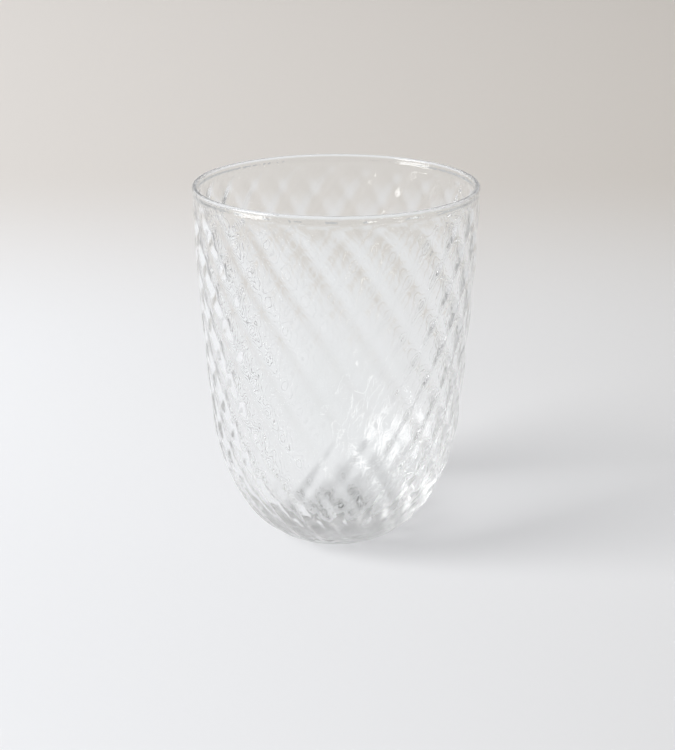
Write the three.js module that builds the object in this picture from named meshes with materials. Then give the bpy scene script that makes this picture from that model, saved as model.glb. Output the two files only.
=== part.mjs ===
// A mouth-blown drinking tumbler of clear glass. Ribs twist round it on both faces, left-handed on the
// outside and right-handed on the inside, so that they cross when one looks through the wall.
// The glass is one blown piece. It is modelled as the four zones that a glassmaker names: the base that
// it stands on, the rounded heel, the ribbed wall and the fire-polished rim. Each zone is a closed solid,
// and neighbours meet face to face on a level plane.
// Millimetres, +Z up, origin on the axis at the level that the glass stands on.
import * as THREE from "three";

// Outside shape
const HEIGHT = 106;
const RIM_RADIUS = 40;
const WALL_DRAW_IN = 3.4; // how much narrower the outside is at the heel than at the rim
const HEEL_HEIGHT = 39.3; // where the wall starts to turn under
const WALL_LEAN = THREE.MathUtils.degToRad(4.5); // of the outside from upright, at that height
const STANDING_RADIUS = 12.4; // outer edge of the flat ring that the glass stands on
const PONTIL_RADIUS = 10; // ground hollow inside the flat ring
const PONTIL_DEPTH = 0.9;

// How far each stretch of the outline keeps its end direction before it bends away
const RIM_REACH = 15.7; // down from the rim
const WALL_REACH = 21.6; // up from the heel
const HEEL_REACH = 20; // down from the wall
const STANDING_REACH = 13; // out from the standing ring
const FLOOR_REACH = 27; // out from the middle of the inner floor

// Glass thickness
const RIM_THICKNESS = 1.1;
const RIM_ROUNDING = 0.45; // radius of the lip's two edges
const WALL_THICKNESS = 2; // at the heel's height
const BASE_THICKNESS = 4; // under the middle of the inner floor

// Heights of the zones
const RIM_HEIGHT = 2.4;
const FLOOR_RISE = 4; // how far the inner floor climbs inside the base zone

// Ribs: narrow rounded ridges with wider hollows between them
const OUTER_RIB_COUNT = 22;
const INNER_RIB_COUNT = 26;
const OUTER_RIB_HEIGHT = 0.7; // from hollow to ridge
const INNER_RIB_HEIGHT = 0.35;
const OUTER_RIB_START = THREE.MathUtils.degToRad(-9.4); // where the first rib stands at height zero
const INNER_RIB_START = THREE.MathUtils.degToRad(-3.7);
const RIB_TURN = THREE.MathUtils.degToRad(0.95); // twist for each millimetre of height
const RIM_RUN_OUT = 5; // height over which the ribs die away towards the rim
const FOOT_RUN_OUT = 10; // and towards the lowest point of their face

// Facets
const STEPS_PER_RIB = 4;
const WALL_RINGS = 16;
const HEEL_RINGS = 9;
const BASE_RINGS = 5;
const PONTIL_RINGS = 4;
const RIM_ROUND_STEPS = 3;
const HEIGHT_SEARCH_STEPS = 40;

const glass = new THREE.MeshStandardMaterial({
  name: "clear_glass",
  color: 0xf2f5f5,
  roughness: 0.04,
  metalness: 0,
  transparent: true,
  opacity: 0.35,
});

// Levels at which the zones meet, and the radii at the ends of the wall
const BASE_TOP = BASE_THICKNESS + FLOOR_RISE;
const WALL_TOP = HEIGHT - RIM_HEIGHT;
const HEEL_RADIUS = RIM_RADIUS - WALL_DRAW_IN;
const INNER_HEEL_RADIUS = HEEL_RADIUS - WALL_THICKNESS;
const INNER_RIM_RADIUS = RIM_RADIUS - RIM_THICKNESS;

// Share of a rib's height that lies below the smooth outline. It is the mean of the rib's squared wave,
// so that ribs neither add nor take glass.
const HOLLOW_SHARE = 3 / 8;

// The outline as radius across and height up. Each curve climbs all the way, so a height has one radius.
const point = (radius, height) => new THREE.Vector2(radius, height);

function wallCurve(heelRadius, rimRadius) {
  return new THREE.CubicBezierCurve(
    point(heelRadius, HEEL_HEIGHT),
    point(heelRadius + WALL_REACH * Math.tan(WALL_LEAN), HEEL_HEIGHT + WALL_REACH),
    point(rimRadius, HEIGHT - RIM_REACH),
    point(rimRadius, HEIGHT),
  );
}

function heelCurve(lowRadius, lowHeight, lowReach, heelRadius) {
  return new THREE.CubicBezierCurve(
    point(lowRadius, lowHeight),
    point(lowRadius + lowReach, lowHeight),
    point(heelRadius - HEEL_REACH * Math.tan(WALL_LEAN), HEEL_HEIGHT - HEEL_REACH),
    point(heelRadius, HEEL_HEIGHT),
  );
}

// The two faces of the glass. Ridges stand away from the axis outside, and towards it inside.
const outside = {
  heel: heelCurve(STANDING_RADIUS, 0, STANDING_REACH, HEEL_RADIUS),
  wall: wallCurve(HEEL_RADIUS, RIM_RADIUS),
  bottom: 0,
  ribCount: OUTER_RIB_COUNT,
  ridge: OUTER_RIB_HEIGHT,
  start: OUTER_RIB_START,
  turn: -RIB_TURN,
};
const inside = {
  heel: heelCurve(0, BASE_THICKNESS, FLOOR_REACH, INNER_HEEL_RADIUS),
  wall: wallCurve(INNER_HEEL_RADIUS, INNER_RIM_RADIUS),
  bottom: BASE_THICKNESS,
  ribCount: INNER_RIB_COUNT,
  ridge: -INNER_RIB_HEIGHT,
  start: INNER_RIB_START,
  turn: RIB_TURN,
};

// The curve parameter at a height, by halving
function parameterAt(curve, height) {
  let low = 0;
  let high = 1;
  for (let step = 0; step < HEIGHT_SEARCH_STEPS; step++) {
    const middle = (low + high) / 2;
    if (curve.getPoint(middle).y < height) low = middle;
    else high = middle;
  }
  return (low + high) / 2;
}

function radiusAt(face, height) {
  const curve = height < HEEL_HEIGHT ? face.heel : face.wall;
  return curve.getPoint(parameterAt(curve, height)).x;
}

// Evenly spaced levels, both ends included
function levels(from, to, count) {
  return Array.from({ length: count + 1 }, (_, i) => THREE.MathUtils.lerp(from, to, i / count));
}

// Points of a curve from its low end up to a height. The last one lies exactly at that height.
function curveUpTo(curve, height, count) {
  const end = parameterAt(curve, height);
  const points = levels(0, end, count).map((t) => curve.getPoint(t));
  points[count].y = height;
  return points;
}

// One face of a zone, as points from its lower level to its upper one
function faceBetween(face, from, to, count) {
  return levels(from, to, count).map((height) => point(radiusAt(face, height), height));
}

// How much of its full height a rib has at a level
function ribStrength(face, height) {
  const belowRim = THREE.MathUtils.smoothstep(WALL_TOP - height, 0, RIM_RUN_OUT);
  const aboveFoot = THREE.MathUtils.smoothstep(height - face.bottom, 0, FOOT_RUN_OUT);
  return belowRim * aboveFoot;
}

// Height of the ribs over the smooth outline, from one ridge (0) to the next one (1)
function ribShape(share) {
  const wave = (1 + Math.cos(2 * Math.PI * share)) / 2;
  return wave ** 2 - HOLLOW_SHARE;
}

// Turns one point of the outline round the axis, with ribs. A point on the axis stays a single point.
function ringOf(face, { x: radius, y: height }) {
  if (radius === 0) return [new THREE.Vector3(0, 0, height)];
  const columns = face.ribCount * STEPS_PER_RIB;
  const relief = face.ridge * ribStrength(face, height);
  return Array.from({ length: columns }, (_, column) => {
    const ribbed = radius + relief * ribShape((column % STEPS_PER_RIB) / STEPS_PER_RIB);
    const angle = (column / columns) * 2 * Math.PI + face.start + face.turn * height;
    return new THREE.Vector3(ribbed * Math.cos(angle), ribbed * Math.sin(angle), height);
  });
}

// Triangles between each ring and the next one, facing away from the axis
function skin(rings) {
  const triangles = [];
  for (let i = 1; i < rings.length; i++) {
    const low = rings[i - 1];
    const high = rings[i];
    for (let column = 0; column < high.length; column++) {
      const next = (column + 1) % high.length;
      const start = low[column % low.length];
      triangles.push([start, high[next], high[column]]);
      if (low.length > 1) triangles.push([start, low[next], high[next]]);
    }
  }
  return triangles;
}

// Triangles of the level plane between an outer and an inner ring, facing up
function land(outerRing, innerRing) {
  const corners = [...outerRing, ...innerRing];
  const flat = (ring) => ring.map((corner) => point(corner.x, corner.y));
  const triangles = THREE.ShapeUtils.triangulateShape(flat(outerRing), [flat(innerRing)]);
  return triangles.map((triangle) => triangle.map((index) => corners[index]));
}

const flipped = (triangles) => triangles.map(([a, b, c]) => [a, c, b]);

// The closed solid between an outer and an inner outline, both from the bottom up.
// A solid whose outlines start on the axis is closed there, and any other one by a level plane.
function turned(outer, inner) {
  const outerRings = outer.map((place) => ringOf(outside, place));
  const innerRings = inner.map((place) => ringOf(inside, place));
  const triangles = [
    ...skin(outerRings),
    ...flipped(skin(innerRings)),
    ...land(outerRings.at(-1), innerRings.at(-1)),
  ];
  if (outer[0].x > 0) triangles.push(...flipped(land(outerRings[0], innerRings[0])));
  const corners = [...outerRings.flat(), ...innerRings.flat()];
  const order = new Map(corners.map((corner, index) => [corner, index]));
  const geometry = new THREE.BufferGeometry().setFromPoints(corners);
  geometry.setIndex(triangles.flat().map((corner) => order.get(corner)));
  geometry.computeVertexNormals();
  return geometry;
}

// The ground hollow under the base, from the axis out to the standing ring
function pontilHollow() {
  return levels(0, 1, PONTIL_RINGS).map((share) =>
    point(PONTIL_RADIUS * share, PONTIL_DEPTH * (1 - THREE.MathUtils.smoothstep(share, 0, 1))),
  );
}

function baseGeometry() {
  const outer = [...pontilHollow(), ...curveUpTo(outside.heel, BASE_TOP, BASE_RINGS)];
  return turned(outer, curveUpTo(inside.heel, BASE_TOP, BASE_RINGS));
}

function bandGeometry(from, to, rings) {
  return turned(faceBetween(outside, from, to, rings), faceBetween(inside, from, to, rings));
}

// One edge of the lip, rounded up to the top. Side is 1 for the outer edge and -1 for the inner one.
function lipEdge(radius, side) {
  return levels(0, Math.PI / 2, RIM_ROUND_STEPS).map((angle) =>
    point(
      radius - side * RIM_ROUNDING * (1 - Math.cos(angle)),
      HEIGHT - RIM_ROUNDING * (1 - Math.sin(angle)),
    ),
  );
}

function rimGeometry() {
  const outer = [point(radiusAt(outside, WALL_TOP), WALL_TOP), ...lipEdge(RIM_RADIUS, 1)];
  const inner = [point(radiusAt(inside, WALL_TOP), WALL_TOP), ...lipEdge(INNER_RIM_RADIUS, -1)];
  return turned(outer, inner);
}

function zone(name, geometry) {
  const mesh = new THREE.Mesh(geometry, glass.clone());
  mesh.name = name;
  return mesh;
}

const tumbler = new THREE.Group();
tumbler.name = "tumbler";
tumbler.add(
  zone("base", baseGeometry()),
  zone("rounded_heel", bandGeometry(BASE_TOP, HEEL_HEIGHT, HEEL_RINGS)),
  zone("ribbed_wall", bandGeometry(HEEL_HEIGHT, WALL_TOP, WALL_RINGS)),
  zone("rim", rimGeometry()),
);

export default tumbler;
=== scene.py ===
# %% [markdown]
# # A mouth-blown tumbler with twisted ribs
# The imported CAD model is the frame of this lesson. It holds the glass as four zones that meet face to
# face: base, heel, wall and rim. A blown glass is one unbroken body, and a face inside clear glass would
# show as a mirror. So one closed mesh is built here from the same sizes, and it stands for all four
# zones.

import math

import bmesh
import bpy
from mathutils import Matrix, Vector


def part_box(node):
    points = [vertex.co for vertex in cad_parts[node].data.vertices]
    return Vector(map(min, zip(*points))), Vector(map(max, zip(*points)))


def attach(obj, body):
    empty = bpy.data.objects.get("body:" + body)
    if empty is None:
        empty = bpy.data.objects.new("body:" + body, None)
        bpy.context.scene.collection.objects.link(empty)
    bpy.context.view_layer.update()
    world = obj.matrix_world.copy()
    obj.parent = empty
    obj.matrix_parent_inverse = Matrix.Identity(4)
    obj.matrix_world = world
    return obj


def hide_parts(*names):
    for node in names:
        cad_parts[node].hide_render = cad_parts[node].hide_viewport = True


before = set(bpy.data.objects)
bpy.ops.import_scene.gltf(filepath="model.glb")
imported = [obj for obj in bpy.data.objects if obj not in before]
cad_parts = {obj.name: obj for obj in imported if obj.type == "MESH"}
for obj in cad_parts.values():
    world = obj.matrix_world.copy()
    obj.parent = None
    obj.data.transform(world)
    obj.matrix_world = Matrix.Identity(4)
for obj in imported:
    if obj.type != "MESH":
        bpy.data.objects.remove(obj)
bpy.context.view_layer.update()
MM = 0.001

# %% [markdown]
# ## A bench for node trees
# Geometry Nodes and shaders are both trees of nodes. Wiring each sum by hand takes three lines, so one
# small class wraps a socket and lets Python's arithmetic add the Math nodes. Every other node comes from
# one method, which takes the node's type, then its settings, and then what its sockets hold.


# %% Wires and the bench
class Wire:
    """An output socket. Arithmetic on it adds Math nodes to its tree."""

    def __init__(self, bench, socket):
        self.bench = bench
        self.socket = socket

    def out(self, name):
        return Wire(self.bench, self.socket.node.outputs[name])

    def __add__(self, other):
        return self.bench.math("ADD", self, other)

    def __radd__(self, other):
        return self.bench.math("ADD", other, self)

    def __sub__(self, other):
        return self.bench.math("SUBTRACT", self, other)

    def __rsub__(self, other):
        return self.bench.math("SUBTRACT", other, self)

    def __mul__(self, other):
        return self.bench.math("MULTIPLY", self, other)

    def __rmul__(self, other):
        return self.bench.math("MULTIPLY", other, self)

    def __truediv__(self, other):
        return self.bench.math("DIVIDE", self, other)

    def __pow__(self, other):
        return self.bench.math("POWER", self, other)

    def __mod__(self, other):
        return self.bench.math("MODULO", self, other)


class Bench:
    """A node tree under construction."""

    def __init__(self, tree):
        self.tree = tree

    def node(self, kind, settings=None, sockets=None):
        made = self.tree.nodes.new(kind)
        for name, value in (settings or {}).items():
            setattr(made, name, value)
        for key, value in (sockets or {}).items():
            for one in value if isinstance(value, list) else [value]:
                if isinstance(one, Wire):
                    self.tree.links.new(one.socket, made.inputs[key])
                else:
                    made.inputs[key].default_value = one
        return Wire(self, made.outputs[0]) if made.outputs else made

    def math(self, operation, *values):
        return self.node("ShaderNodeMath", {"operation": operation}, dict(enumerate(values)))

    def ramp(self, value, low, high, shape="SMOOTHSTEP"):
        """Goes from 0 at low to 1 at high, and stays there."""
        sockets = {"Value": value, "From Min": low, "From Max": high}
        return self.node("ShaderNodeMapRange", {"interpolation_type": shape}, sockets)

    def vector(self, x, y, z):
        return self.node("ShaderNodeCombineXYZ", None, {"X": x, "Y": y, "Z": z})

    def split(self, vector):
        parts = self.node("ShaderNodeSeparateXYZ", None, {"Vector": vector})
        return parts.out("X"), parts.out("Y"), parts.out("Z")

    def blend(self, share, first, second):
        """Two colours. Inputs 6 and 7 and output 2 are the colour ones of a Mix node."""
        return self.node("ShaderNodeMix", {"data_type": "RGBA"}, {0: share, 6: first, 7: second}).out(2)

    def noise(self, place, wave_length, detail=1.0, roughness=0.5):
        """Values from 0 to 1 that change over about one wave length."""
        sockets = {"Vector": place, "Scale": 1 / wave_length, "Detail": detail, "Roughness": roughness}
        return self.node("ShaderNodeTexNoise", {"noise_dimensions": "3D"}, sockets)


print("the bench is ready")

# %% [markdown]
# ## The sizes of the glass
# These are the CAD model's own sizes, in metres, and the levels of the zones come from the frame. Only
# the last lines are this lesson's: the soft bead that the flame leaves on the lip, faint ribs that run on
# under the floor, and the small unevenness of hand work.

# %% Driving sizes
RIB_TURN = math.radians(0.95) / MM
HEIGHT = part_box("rim")[1].z
HEEL_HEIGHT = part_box("ribbed_wall")[0].z
WALL_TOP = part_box("rim")[0].z
SIZES = {
    "Height": HEIGHT,
    "Heel Height": HEEL_HEIGHT,
    "Wall Top": WALL_TOP,
    "Rim Radius": 40 * MM,
    "Wall Draw In": 3.4 * MM,
    "Standing Radius": 12.4 * MM,
    "Pontil Radius": 10 * MM,
    "Pontil Depth": 0.9 * MM,
    "Rim Thickness": 1.1 * MM,
    "Wall Thickness": 2 * MM,
    "Base Thickness": 4 * MM,
    "Wall Slope": math.tan(math.radians(4.5)),
    "Rim Reach": 15.7 * MM,
    "Wall Reach": 21.6 * MM,
    "Heel Reach": 20 * MM,
    "Standing Reach": 13 * MM,
    "Floor Reach": 27 * MM,
    "Outer Rib Count": 22,
    "Outer Rib Height": 0.7 * MM,
    "Outer Rib Turn": -RIB_TURN,
    "Inner Rib Count": 26,
    "Inner Rib Height": 0.35 * MM,
    "Inner Rib Turn": RIB_TURN,
    "Inner Rib Offset": 1,
    "Rib Start": math.radians(-9.4),
    "Ridge Sharpness": 2.0,
    "Rim Run Out": 5 * MM,
    "Foot Run Out": 10 * MM,
    "Lip Bead": 0.2 * MM,
    "Lip Neck": 3 * MM,
    "Foot Rib Height": 0.06 * MM,
    "Floor Rib Height": 0.08 * MM,
    "Rib Unevenness": 0.3,
    "Rib Wander": 0.06,
    "Waviness": 0.12 * MM,
    "Columns": 572,
}
WHOLE_NUMBERS = ("Outer Rib Count", "Inner Rib Count", "Inner Rib Offset", "Columns")
print(f"glass {HEIGHT / MM:.1f} mm high, wall from {HEEL_HEIGHT / MM:.1f} to {WALL_TOP / MM:.1f} mm")

# %% [markdown]
# ## The glass as a rule
# A gather of glass is dipped into a ribbed mould, twisted and blown. The shape follows one rule: an
# outline turned round the axis, with a wave of ribs raised on it that turns as it climbs. A Screw
# modifier could turn the outline, but the ribs need every point's angle and height, so Geometry Nodes
# place each point of a grid.

# %% Start the tree
tree = bpy.data.node_groups.new("ribbed_tumbler", "GeometryNodeTree")
tree.interface.new_socket("Geometry", in_out="OUTPUT", socket_type="NodeSocketGeometry")
identifiers = {}
for name in SIZES:
    kind = "NodeSocketInt" if name in WHOLE_NUMBERS else "NodeSocketFloat"
    identifiers[name] = tree.interface.new_socket(name, in_out="INPUT", socket_type=kind).identifier
material_socket = tree.interface.new_socket("Material", in_out="INPUT", socket_type="NodeSocketMaterial")
bench = Bench(tree)
given = bench.node("NodeGroupInput")
size = {name: given.out(name) for name in SIZES}
print(f"the tree takes {len(identifiers)} sizes")

# %% [markdown]
# ## The outline
# Half a cross-section of the glass: from the hollow under the base, out over the heel, up the wall, over
# the lip and down again inside. Each stretch is a Bezier curve with the same handles as the CAD model's,
# so that the two shapes agree. A resampled curve gives evenly spaced points, each with its radius and
# height.

# %% Stretches
STEPS = {"pontil": 10, "flat": 2, "heel": 28, "wall": 30, "neck": 8, "lip": 6, "inner_heel": 36}
FINE = 96


def stretch(name, start, start_handle, end_handle, end):
    """One curved stretch of the outline. Each point is a pair of radius and height."""
    sockets = {"Resolution": FINE}
    corners = {"Start": start, "Start Handle": start_handle, "End Handle": end_handle, "End": end}
    for corner, (radius, height) in corners.items():
        sockets[corner] = bench.vector(radius, 0.0, height)
    curve = bench.node("GeometryNodeCurvePrimitiveBezierSegment", {"mode": "POSITION"}, sockets)
    count = {"Curve": curve, "Count": STEPS[name] + 1}
    even = bench.node("GeometryNodeResampleCurve", {"mode": "COUNT"}, count)
    return bench.node("GeometryNodeCurveToMesh", None, {"Curve": even})


def straight(name, start, end):
    return stretch(name, start, start, end, end)


print("steps along the outline:", STEPS)

# %% Heel, wall and lip
heel_radius = size["Rim Radius"] - size["Wall Draw In"]
inner_heel = heel_radius - size["Wall Thickness"]
lip_inside = size["Rim Radius"] - size["Rim Thickness"]
lip_round = size["Rim Thickness"] / 2
lip_middle = size["Rim Radius"] - lip_round
lip_top = size["Height"] - size["Lip Bead"]
lip_level = lip_top - lip_round
neck_level = lip_level - size["Lip Neck"]
heel_handle = size["Heel Height"] - size["Heel Reach"]
wall_handle = size["Heel Height"] + size["Wall Reach"]


def heel_points(low_radius, low_height, reach, top_radius):
    return (
        (low_radius, low_height),
        (low_radius + reach, low_height),
        (top_radius - size["Heel Reach"] * size["Wall Slope"], heel_handle),
        (top_radius, size["Heel Height"]),
    )


def wall_points(low_radius, top_radius):
    return (
        (low_radius, size["Heel Height"]),
        (low_radius + size["Wall Reach"] * size["Wall Slope"], wall_handle),
        (top_radius, neck_level - size["Rim Reach"]),
        (top_radius, neck_level),
    )


QUARTER = 4 / 3 * (math.sqrt(2) - 1)  # handle length of a quarter circle of radius 1


def lip_points(side_radius):
    """A quarter circle from one side of the lip up to its top."""
    return (
        (side_radius, lip_level),
        (side_radius, lip_level + lip_round * QUARTER),
        (lip_middle + (side_radius - lip_middle) * QUARTER, lip_top),
        (lip_middle, lip_top),
    )


print(f"the outline has {len(STEPS)} kinds of stretch")

# %% [markdown]
# ## Two sets of ribs
# Seen through the mouth, bands lean both ways on the far wall alone. So there are ribs on both faces:
# they climb left-handed outside and right-handed inside, as when a ribbed gather is cased in a second
# one. Both sets die away towards the rim and the foot. Each point of the outline carries its rib height,
# count and turn as marks.

# %% Height and turn of the ribs
position = bench.node("GeometryNodeInputPosition")
radius_here, _, height_here = bench.split(position)
FLOOR_RIBS_FROM = (1.5 * MM, 6 * MM)
HOLLOW_FADE = 5 * MM
below_rim = bench.ramp(size["Wall Top"] - height_here, 0.0, size["Rim Run Out"])
above_foot = bench.ramp(height_here, 0.0, size["Foot Run Out"])
above_floor = bench.ramp(height_here - size["Base Thickness"], 0.0, size["Foot Run Out"])
off_axis = bench.ramp(radius_here, *FLOOR_RIBS_FROM)
in_hollow = bench.ramp(size["Pontil Radius"] - radius_here, 0.0, HOLLOW_FADE)
outer_relief = size["Outer Rib Height"] * below_rim * above_foot
inner_relief = size["Inner Rib Height"] * below_rim * above_floor
floor_relief = size["Floor Rib Height"] * off_axis * (1 - above_floor)
foot_relief = size["Foot Rib Height"] * off_axis * in_hollow
outer_turn = size["Rib Start"] + size["Outer Rib Turn"] * height_here
lip_turn = size["Rib Start"] + size["Outer Rib Turn"] * size["Height"]
inner_turn = lip_turn + size["Inner Rib Turn"] * (height_here - size["Height"])


def marked(line, **marks):
    for name, value in marks.items():
        settings = {"data_type": "FLOAT", "domain": "POINT"}
        sockets = {"Geometry": line, "Name": name, "Value": value}
        line = bench.node("GeometryNodeStoreNamedAttribute", settings, sockets)
    return line


def outside(line, relief=0.0):
    return marked(line, relief=relief, ribs=size["Outer Rib Count"], offset=0.0, turn=outer_turn)


def inside(line, relief=0.0):
    offset = size["Inner Rib Offset"]
    return marked(line, relief=relief, ribs=size["Inner Rib Count"], offset=offset, turn=inner_turn)


print(f"ribs: {SIZES['Outer Rib Count']} outside, {SIZES['Inner Rib Count']} inside")

# %% The whole outline, from the axis under the base to the axis on the inner floor
pontil_middle = (0.0, size["Pontil Depth"])
pontil_inner = (size["Pontil Radius"] / 2, size["Pontil Depth"])
pontil_outer = (size["Pontil Radius"] / 2, 0.0)
pontil_edge = (size["Pontil Radius"], 0.0)
standing_edge = (size["Standing Radius"], 0.0)
outer_heel_points = heel_points(*standing_edge, size["Standing Reach"], heel_radius)
inner_heel_points = heel_points(0.0, size["Base Thickness"], size["Floor Reach"], inner_heel)
outer_neck = ((size["Rim Radius"], neck_level), (size["Rim Radius"], lip_level))
inner_neck = ((lip_inside, lip_level), (lip_inside, neck_level))
outline = [
    outside(stretch("pontil", pontil_middle, pontil_inner, pontil_outer, pontil_edge), foot_relief),
    outside(straight("flat", pontil_edge, standing_edge)),
    outside(stretch("heel", *outer_heel_points), outer_relief),
    outside(stretch("wall", *wall_points(heel_radius, size["Rim Radius"])), outer_relief),
    outside(straight("neck", *outer_neck)),
    outside(stretch("lip", *lip_points(size["Rim Radius"]))),
    inside(stretch("lip", *reversed(lip_points(lip_inside)))),
    inside(straight("neck", *inner_neck)),
    inside(stretch("wall", *reversed(wall_points(inner_heel, lip_inside))), inner_relief),
    inside(stretch("inner_heel", *reversed(inner_heel_points)), inner_relief + floor_relief),
]
# Join Geometry lists the piece that was linked last before the others, so the links go in from the end.
joined = bench.node("GeometryNodeJoinGeometry", None, {"Geometry": outline[::-1]})
SAME_PLACE = 0.001 * MM
line = bench.node("GeometryNodeMergeByDistance", None, {"Geometry": joined, "Distance": SAME_PLACE})
points = bench.node("GeometryNodeAttributeDomainSize", {"component": "MESH"}, {"Geometry": line})
print(f"the outline has {len(outline)} stretches")

# %% [markdown]
# ## From outline to grid
# A flat grid has as many rows as the outline has points, and as many columns as the glass needs round its
# axis: a multiple of both rib counts, so that every ridge runs along one column. Each grid point looks up
# its row's place and marks on the outline by index.

# %% The grid
around = size["Columns"]
grid = bench.node("GeometryNodeMeshGrid", None, {"Vertices X": around + 1, "Vertices Y": points})
index = bench.node("GeometryNodeInputIndex")
along = index % points
angle = bench.math("FLOOR", (index + 0.5) / points) / around * math.tau


def looked_up(value, data_type, at):
    settings = {"data_type": data_type, "domain": "POINT", "clamp": True}
    return bench.node("GeometryNodeSampleIndex", settings, {"Geometry": line, "Value": value, "Index": at})


def outline_point(at):
    radius_there, _, height_there = bench.split(looked_up(position, "FLOAT_VECTOR", at))
    return radius_there, height_there


def mark(name):
    found = bench.node("GeometryNodeInputNamedAttribute", {"data_type": "FLOAT"}, {"Name": name})
    return looked_up(found, "FLOAT", along)


radius, height = outline_point(along)
next_radius, next_height = outline_point(along + 1)
last_radius, last_height = outline_point(along - 1)
relief = mark("relief")
ribs = mark("ribs")
offset = mark("offset")
turn = angle + mark("turn")
print(f"grid of {SIZES['Columns']} columns")

# %% [markdown]
# ## Ribs, bead and hand work
# A rib is a squared cosine: a narrow rounded ridge with a wider hollow. It is set so that ribs neither
# add nor take glass. Noise with a fixed pattern makes some ridges lower, lets the wall undulate a little
# inwards, and makes the ribs wander. The wander moves whole columns, because a ridge that left its column
# would show facets.

# %% Raise the ribs
WAVE_LENGTH = 24 * MM
WANDER_LENGTH = 40 * MM
ELSEWHERE = (0.3, 0.1, 0.2)
WANDER_FROM = (4 * MM, 20 * MM)
UNEVEN_ABOVE = 4 * MM
BEAD_FROM = 0.4
NOISE_GRAIN = 0.4
HOLLOW_SHARE = 3 / 8  # the mean of a squared cosine wave


def round_axis(at_radius, at_turn, at_height):
    x = at_radius * bench.math("COSINE", at_turn)
    y = at_radius * bench.math("SINE", at_turn)
    return bench.vector(x, y, at_height)


smooth_place = round_axis(radius, turn, height)
other_place = bench.node("ShaderNodeVectorMath", {"operation": "ADD"}, {0: smooth_place, 1: ELSEWHERE})
under_rim = bench.ramp(size["Wall Top"] - height, 0.0, size["Rim Run Out"])
swell = bench.noise(smooth_place, WAVE_LENGTH, roughness=NOISE_GRAIN)
drift = bench.noise(other_place, WANDER_LENGTH, roughness=NOISE_GRAIN) - 0.5
wander = drift * size["Rib Wander"] * bench.ramp(radius, *WANDER_FROM) * under_rim
phase = (angle + offset * math.tau / around) * ribs
ridge = (0.5 + 0.5 * bench.math("COSINE", phase)) ** size["Ridge Sharpness"]
rib = relief * (ridge * (1 - swell * size["Rib Unevenness"]) - HOLLOW_SHARE)
undulation = (swell - 1) * size["Waviness"] * under_rim * bench.ramp(height, 0.0, UNEVEN_ABOVE)
bead_share = bench.ramp(height - neck_level, BEAD_FROM * size["Lip Neck"], size["Lip Neck"])
proud = rib + undulation + size["Lip Bead"] * bead_share
print(f"{SIZES['Rib Unevenness']:.0%} of a rib's height may be missing")

# %% Move the grid's points along the outline's normals
run = next_radius - last_radius
rise = next_height - last_height
pace = bench.math("SQRT", run * run + rise * rise)
moved = round_axis(radius + proud * rise / pace, turn + wander, height - proud * run / pace)
shaped = bench.node("GeometryNodeSetPosition", None, {"Geometry": grid, "Position": moved})
closed = bench.node("GeometryNodeMergeByDistance", None, {"Geometry": shaped, "Distance": SAME_PLACE})
smooth = bench.node("GeometryNodeSetShadeSmooth", None, {"Geometry": closed, "Shade Smooth": True})
real = bench.node("GeometryNodeRealizeInstances", None, {"Geometry": smooth})
dressed = {"Geometry": real, "Material": given.out("Material")}
finished = bench.node("GeometryNodeSetMaterial", None, dressed)
bench.node("NodeGroupOutput", None, {"Geometry": finished})
print(f"the tree has {len(tree.nodes)} nodes")

# %% [markdown]
# ## Clear glass
# The glass is colourless and fire-polished, so its looks come from what it bends and mirrors. A perfect
# surface would look computed. Real blown glass has fine streaks that were drawn out along the ribs as
# they were twisted, and a lively crackle in the base, where the glass cooled on the iron. Both are bumps:
# hundredths of a millimetre for the streaks and tenths for the crackle. The streaks' pattern is turned
# back by the ribs' twist, so that it follows them.

# %% Streaks and crackle
glass = bpy.data.materials.new("clear_glass")
glass.use_nodes = True
glass.node_tree.nodes.clear()
shader = Bench(glass.node_tree)
glass_place = shader.node("ShaderNodeTexCoord").out("Object")
glass_x, glass_y, glass_height = shader.split(glass_place)
FINE_DETAIL = 2.0
STREAK_LENGTHENING = 5
STREAK_WIDTH = 2.4 * MM
STREAK_DEPTH = 0.09 * MM
CRACKLE_WIDTH = 1.8 * MM
CRACKLE_DEPTH = 0.62 * MM
CRACKLE_BELOW = (12 * MM, 5 * MM)
twist = glass_height * RIB_TURN
twist_cosine = shader.math("COSINE", twist)
twist_sine = shader.math("SINE", twist)
untwisted_x = glass_x * twist_cosine - glass_y * twist_sine
untwisted_y = glass_x * twist_sine + glass_y * twist_cosine
streak_place = shader.vector(untwisted_x, untwisted_y, glass_height / STREAK_LENGTHENING)
in_base = shader.ramp(glass_height, *CRACKLE_BELOW)
streaks = STREAK_DEPTH * shader.noise(streak_place, STREAK_WIDTH)
crackle_pattern = shader.noise(glass_place, CRACKLE_WIDTH, detail=FINE_DETAIL)
crackle = CRACKLE_DEPTH * in_base * crackle_pattern
bump_sockets = {"Height": streaks + crackle, "Distance": 1.0, "Strength": 1.0}
rippled = shader.node("ShaderNodeBump", None, bump_sockets)
print(f"streaks {STREAK_DEPTH / MM} mm and crackle {CRACKLE_DEPTH / MM} mm deep")

# %% [markdown]
# ## Haze, wear and tint
# A washed glass has a faint haze, which comes and goes over some centimetres. The ring that it stands on
# is scuffed by the table, and the ground hollow inside it was polished less finely than a flame does. A
# breath of green comes from iron in the sand. These are small steps, because strong ones would make the
# glass look dirty.

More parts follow.
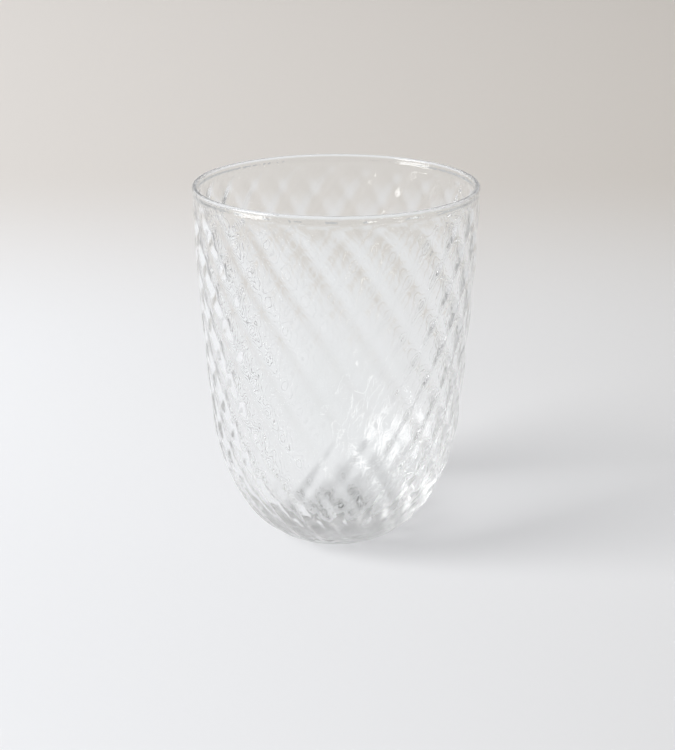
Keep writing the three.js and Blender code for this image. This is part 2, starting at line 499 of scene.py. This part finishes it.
# %% Roughness and colour
HAZE = 0.001
HAZE_SPREAD = 0.006
HAZE_WIDTH = 30 * MM
SCUFF = 0.2
SCUFF_WIDTH = 0.8 * MM
SCUFF_BELOW = (0.5 * MM, 0.1 * MM)
GROUND = 0.01
GROUND_BELOW = (1.2 * MM, 0.8 * MM)
PURE = (1.0, 1.0, 1.0, 1.0)
TINTED = (0.985, 0.995, 0.99, 1.0)
haze_pattern = shader.noise(glass_place, HAZE_WIDTH, detail=FINE_DETAIL)
scuff_pattern = shader.noise(glass_place, SCUFF_WIDTH, detail=FINE_DETAIL)
scuffed = SCUFF * scuff_pattern * shader.ramp(glass_height, *SCUFF_BELOW)
ground = GROUND * shader.ramp(glass_height, *GROUND_BELOW)
surface_roughness = HAZE + HAZE_SPREAD * haze_pattern + scuffed + ground
clean_tint = shader.blend(haze_pattern, PURE, TINTED)
roughest = HAZE + HAZE_SPREAD + SCUFF + GROUND
print(f"roughness from {HAZE} on the wall to about {roughest:.2f} on the standing ring")

# %% [markdown]
# ## The pontil scar
# Where the iron was cracked off, a broken ring and some chips are left in the ground hollow. Their steep
# sides throw the light aside, so through the glass they look like dark hooks. That shade is painted here:
# a near-black tint on the underside stands in for it, because each is only about a millimetre wide.

# %% Scar and chips
SCAR_PLACE = (0.5 * MM, 5.0 * MM)
SCAR_RADIUS = 2.5 * MM
SCAR_WIDTH = (0.9 * MM, 0.5 * MM)
SCAR_WHOLE = (0.4, 0.46)
CHIP_SPACING = 2.4 * MM
CHIPS = (0.57, 0.62)
CHIPS_WITHIN = (9.5 * MM, 8 * MM)
SCAR_BELOW = (1.4 * MM, 1.2 * MM)
SCAR_PAINTED_SHADE = (0.01, 0.01, 0.01, 1)


def distance_from(x, y):
    return shader.math("SQRT", (glass_x - x) ** 2 + (glass_y - y) ** 2)


off_ring = shader.math("ABSOLUTE", distance_from(*SCAR_PLACE) - SCAR_RADIUS)
chip_pattern = shader.noise(glass_place, CHIP_SPACING)
ring = shader.ramp(off_ring, *SCAR_WIDTH) * shader.ramp(chip_pattern, *SCAR_WHOLE)
chips = shader.ramp(chip_pattern, *CHIPS) * shader.ramp(distance_from(0, 0), *CHIPS_WITHIN)
scar = shader.math("MAXIMUM", ring, chips) * shader.ramp(glass_height, *SCAR_BELOW)
# Painted shade: the scar's near-black stands in for light that its steep sides throw aside.
tint_and_scar_shade = shader.blend(scar, clean_tint, SCAR_PAINTED_SHADE)
print(f"scar of {2 * SCAR_RADIUS / MM} mm across")

# %% [markdown]
# ## Trapped light
# Some light can't leave the wall at once. It is thrown to and fro between the crossing ribs, and on the
# way it meets many small flaws. A shader knows how often a ray has turned, so the flaws that it has met
# are added up as roughness. This blurs the nested rings that a flawless surface would show in the flutes,
# and it darkens the sides of the glass as in the photograph. The base is left out, because its crackle
# has to stay crisp.

# %% Blur of trapped light
TRAPPED_AFTER = (3.0, 6.0)
TRAPPED_BLUR = 0.16
TRAPPED_ABOVE = (10 * MM, 22 * MM)
path = shader.node("ShaderNodeLightPath")
turns = shader.ramp(path.out("Ray Depth"), *TRAPPED_AFTER)
roughness = surface_roughness + TRAPPED_BLUR * turns * shader.ramp(glass_height, *TRAPPED_ABOVE)
print(f"a ray is trapped after {TRAPPED_AFTER[0]:.0f} to {TRAPPED_AFTER[1]:.0f} turns")

# %% [markdown]
# ## Light that passes through
# A path tracer bends the rays that the eye sees. But a ray from the floor to the lamp goes straight, and
# clear glass would stop it. So for rays that start on the floor the glass turns into a transparent sheet.
# Light from the room around passes it freely. The lamp's light passes the middle with little loss. Where
# it meets the wall at a slant, most of it is lost, because real glass bends it away. This gives the
# shadow two darker borders and a bright middle. The crackled base dapples the lamp's light.

# %% The glass shader
GLASS_IOR = 1.5
EDGE_POWER = 1.5
EDGE_LOSS = 1.0
HEEL_CLEARS = (4 * MM, 30 * MM)
BASE_LOSS = 0.5
BASE_CLEARS = (12 * MM, 4 * MM)
DAPPLED = (0.42, 0.6)
EVEN = 0.5  # the setting at which Facing is one minus the cosine
body_sockets = {
    "Base Color": tint_and_scar_shade,
    "Roughness": roughness,
    "IOR": GLASS_IOR,
    "Transmission Weight": 1.0,
    "Normal": rippled,
}
body = shader.node("ShaderNodeBsdfPrincipled", None, body_sockets)
slant = shader.node("ShaderNodeLayerWeight", None, {"Blend": EVEN}).out("Facing")
edge_loss = EDGE_LOSS * shader.ramp(glass_height, *HEEL_CLEARS)
dapples = shader.ramp(crackle_pattern, *DAPPLED) * shader.ramp(glass_height, *BASE_CLEARS)
passing = (1 - edge_loss * slant**EDGE_POWER) * (1 - BASE_LOSS * dapples)
to_lamp = path.out("Is Shadow Ray") * passing
from_floor = shader.math("MAXIMUM", to_lamp, path.out("Is Diffuse Ray"))
sheet_of_air = shader.node("ShaderNodeBsdfTransparent")
blown = shader.node("ShaderNodeMixShader", None, {0: from_floor, 1: body, 2: sheet_of_air})
shader.node("ShaderNodeOutputMaterial", None, {"Surface": blown})
print(f"the glass shader has {len(glass.node_tree.nodes)} nodes")

# %% [markdown]
# ## The finished mesh
# The tree runs as a modifier on an empty object. Its sizes are set by the sockets' identifiers before the
# first evaluation, and the result is copied to a plain mesh, because the export keeps meshes and drops
# modifiers. The piece rides on the model's one body, stands for the four CAD zones and takes the record's
# glass finish.

# %% Turn the rule into a mesh
rule = bpy.data.objects.new("tumbler_rule", bpy.data.meshes.new("tumbler_rule"))
bpy.context.scene.collection.objects.link(rule)
modifier = rule.modifiers.new("ribbed_tumbler", "NODES")
modifier.node_group = tree
for name, value in SIZES.items():
    modifier[identifiers[name]] = value
modifier[material_socket.identifier] = glass
depsgraph = bpy.context.evaluated_depsgraph_get()
mesh = bpy.data.meshes.new_from_object(rule.evaluated_get(depsgraph))
bpy.data.objects.remove(rule)
tumbler = bpy.data.objects.new("tumbler_glass", mesh)
bpy.context.scene.collection.objects.link(tumbler)
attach(tumbler, "root")
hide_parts("base", "rounded_heel", "ribbed_wall", "rim")
print(f"mesh of {len(mesh.vertices)} points")

# %% Measure it
measured = bmesh.new()
measured.from_mesh(mesh)
open_edges = sum(not edge.is_manifold for edge in measured.edges)
volume = measured.calc_volume(signed=True)
measured.free()
CUBIC_CM = 1000 * MM**3
print(f"glass: {len(mesh.polygons)} faces, {open_edges} open edges, {volume / CUBIC_CM:.1f} cm3")

# %% [markdown]
# ## The pale floor
# The glass stands on a plain pale sheet. It is cool white around the glass and a little darker towards the
# viewer. Further back and to the right, away from the window, shade is painted into its colour, which turns
# to a warm grey there. The sheet is a plane a hair below the glass, so that the two surfaces don't
# coincide. Its colour is a blend over its own coordinates. The painted shade to the right fans out from the
# viewer's place, as the sides of the view do. The glass shows the sheet again, bent.

# %% Floor
FLOOR_HALF = 3.0
FLOOR_GAP = 0.1 * MM
floor_mesh = bpy.data.meshes.new("floor")
floor_corners = [(x, y, -FLOOR_GAP) for x, y in ((-1, -1), (1, -1), (1, 1), (-1, 1))]
floor_corners = [(x * FLOOR_HALF, y * FLOOR_HALF, z) for x, y, z in floor_corners]
floor_mesh.from_pydata(floor_corners, [], [(0, 1, 2, 3)])
floor = bpy.data.objects.new("floor", floor_mesh)
bpy.context.scene.collection.objects.link(floor)
print(f"floor {2 * FLOOR_HALF} m wide")

# %% Floor colour
FRONT_COLOUR = (0.855, 0.863, 0.885, 1)
MIDDLE_COLOUR = (0.893, 0.902, 0.925, 1)
# The warm grey far colour and the dark right colour are painted shade, away from the window.
FAR_SHADE_COLOUR = (0.745, 0.715, 0.688, 1)
RIGHT_SHADE_COLOUR = (0.1, 0.06, 0.0, 1)
FRONT_RANGE = (-0.1, 0.12)
FAR_RANGE = (0.13, 0.52)
FAN_POINT = 0.35
NEAREST = 0.05
SIDE_RANGE = (-0.34, 0.34)
SIDE_PAINTED_SHADE = 0.155
FAR_SIDE_PAINTED_SHADE = 0.275
SIDE_DEPTH = (-0.02, 0.15)
PAPER_ROUGHNESS = 0.9
PAPER_GLOSS = 0.1
paper = bpy.data.materials.new("pale_floor")
paper.use_nodes = True
paper.node_tree.nodes.clear()
paper_bench = Bench(paper.node_tree)
across, away, _ = paper_bench.split(paper_bench.node("ShaderNodeTexCoord").out("Object"))
front_colour = paper_bench.blend(paper_bench.ramp(away, *FRONT_RANGE), FRONT_COLOUR, MIDDLE_COLOUR)
depth_colour = paper_bench.blend(paper_bench.ramp(away, *FAR_RANGE), front_colour, FAR_SHADE_COLOUR)
sideways = across / paper_bench.math("MAXIMUM", away + FAN_POINT, NEAREST)
to_the_right = paper_bench.ramp(sideways, *SIDE_RANGE, shape="LINEAR")
side_change = FAR_SIDE_PAINTED_SHADE - SIDE_PAINTED_SHADE
painted_side_shade = SIDE_PAINTED_SHADE + side_change * paper_bench.ramp(away, *SIDE_DEPTH)
# Painted shade: the floor darkens to the right, more so further back, as if the window lit it less there.
shaded_floor_colour = paper_bench.blend(painted_side_shade * to_the_right, depth_colour, RIGHT_SHADE_COLOUR)
sheet_sockets = {"Base Color": shaded_floor_colour, "Roughness": PAPER_ROUGHNESS, "Specular IOR Level": PAPER_GLOSS}
sheet = paper_bench.node("ShaderNodeBsdfPrincipled", None, sheet_sockets)
paper_bench.node("ShaderNodeOutputMaterial", None, {"Surface": sheet})
floor_mesh.materials.append(paper)
print(f"the floor shader has {len(paper.node_tree.nodes)} nodes")

# %% [markdown]
# ## Room and window
# Glass shows its surroundings, so the room matters as much as the lamp. Its walls are mid grey and its
# ceiling is light. A dark area lies high behind the glass. Only light that the base has mirrored comes from
# there, which gives the base its dark accents. On the left there are a tall window and a brighter wall.
# Both are part of the world for all that the eye sees in the glass. They don't light the floor, because a
# lamp in the window's direction does that with less grain.

# %% The room
ROOM_COLOUR = (1, 1, 1, 1)
ROOM_LOW = 0.5
ROOM_HIGH = 0.79
WALL_TO_CEILING = (0.05, 0.6)
WINDOW_AZIMUTH = math.radians(198)
WINDOW_ELEVATION = math.radians(36)
PANE_SIDES = (0.95, 0.98)
PANE_LOW = (0.1, 0.2)
PANE_HIGH = (0.68, 0.76)
PANE_GLOW = 8.0
LIT_SIDE = (-0.1, -0.8)
LIT_GLOW = 0.3
DARK_SIDE = Vector((-0.1, 0.75, 0.65)).normalized()
DARK_EDGE = (0.78, 0.95)
DARK_DIMS = 0.95
world = bpy.data.worlds.new("room")
bpy.context.scene.world = world
world.use_nodes = True
world.cycles.sampling_method = "NONE"
world.node_tree.nodes.clear()
room = Bench(world.node_tree)
direction = room.node("ShaderNodeTexCoord").out("Generated")


def facing(side):
    settings = {"operation": "DOT_PRODUCT"}
    return room.node("ShaderNodeVectorMath", settings, {0: direction, 1: side}).out("Value")


def toward(azimuth, elevation):
    level = math.cos(elevation)
    return Vector((level * math.cos(azimuth), level * math.sin(azimuth), math.sin(elevation)))


to_right, _, climb = room.split(direction)
grey = ROOM_LOW + (ROOM_HIGH - ROOM_LOW) * room.ramp(climb, *WALL_TO_CEILING)
grey = grey * (1 - DARK_DIMS * room.ramp(facing(DARK_SIDE), *DARK_EDGE))
level_length = room.math("SQRT", 1 - climb * climb)
pane = room.ramp(facing(toward(WINDOW_AZIMUTH, 0)) / level_length, *PANE_SIDES)
pane = pane * room.ramp(climb, *PANE_LOW) * (1 - room.ramp(climb, *PANE_HIGH))
seen_through_glass = 1 - room.math("MINIMUM", room.node("ShaderNodeLightPath").out("Diffuse Depth"), 1.0)
lit_wall = LIT_GLOW * room.ramp(to_right, *LIT_SIDE)
brightness = grey + (PANE_GLOW * pane + lit_wall) * seen_through_glass
background_sockets = {"Color": ROOM_COLOUR, "Strength": brightness}
background = room.node("ShaderNodeBackground", None, background_sockets)
room.node("ShaderNodeOutputWorld", None, {"Surface": background})
print(f"the room has {len(world.node_tree.nodes)} nodes")

# %% The window's light
WINDOW_POWER = 980.0
WINDOW_DISTANCE = 12.0
WINDOW_SIZE = 5.8
window_data = bpy.data.lights.new("window", "AREA")
window_data.shape = "DISK"
window_data.size = WINDOW_SIZE
window_data.energy = WINDOW_POWER
window = bpy.data.objects.new("window", window_data)
window.location = WINDOW_DISTANCE * toward(WINDOW_AZIMUTH, WINDOW_ELEVATION)
window.rotation_euler = (-window.location).to_track_quat("-Z", "Y").to_euler()
window.visible_glossy = False
window.visible_transmission = False
bpy.context.scene.collection.objects.link(window)
print("window at", [round(c, 2) for c in window.location])

# %% [markdown]
# ## The camera
# The photograph has no data of its lens. Its lens and viewpoint were fitted so that the rim's and the
# base's ellipses and the outline of the CAD model agree with it. The camera stands close and looks down
# on the glass.

# %% Camera
PHOTO_HEIGHT = 750
FOCAL_PIXELS = 1259.5
CAMERA_PLACE = (0.4 * MM, -348 * MM, 183.1 * MM)
CAMERA_PITCH = math.radians(21.21)
SENSOR = 36
NEAR_CLIP = 10 * MM
camera_data = bpy.data.cameras.new("photo_camera")
camera_data.sensor_width = SENSOR
camera_data.lens = FOCAL_PIXELS * SENSOR / PHOTO_HEIGHT
camera_data.clip_start = NEAR_CLIP
camera = bpy.data.objects.new("photo_camera", camera_data)
camera.location = CAMERA_PLACE
camera.rotation_euler = (math.pi / 2 - CAMERA_PITCH, 0, 0)
bpy.context.scene.collection.objects.link(camera)
bpy.context.scene.camera = camera
print(f"camera with a {camera_data.lens:.1f} mm lens")

# %% [markdown]
# ## View and light paths
# The Standard view shows colours as they are written. Light runs up and down inside the wall many times
# before it leaves at the lip, so the paths may be long: with few bounces the rim would turn black.

# %% View, paths and finish
LIGHT_BOUNCES = 96
scene = bpy.context.scene
scene.view_settings.view_transform = "Standard"
scene.cycles.max_bounces = LIGHT_BOUNCES
scene.cycles.glossy_bounces = LIGHT_BOUNCES
scene.cycles.transmission_bounces = LIGHT_BOUNCES
scene.cycles.transparent_max_bounces = LIGHT_BOUNCES
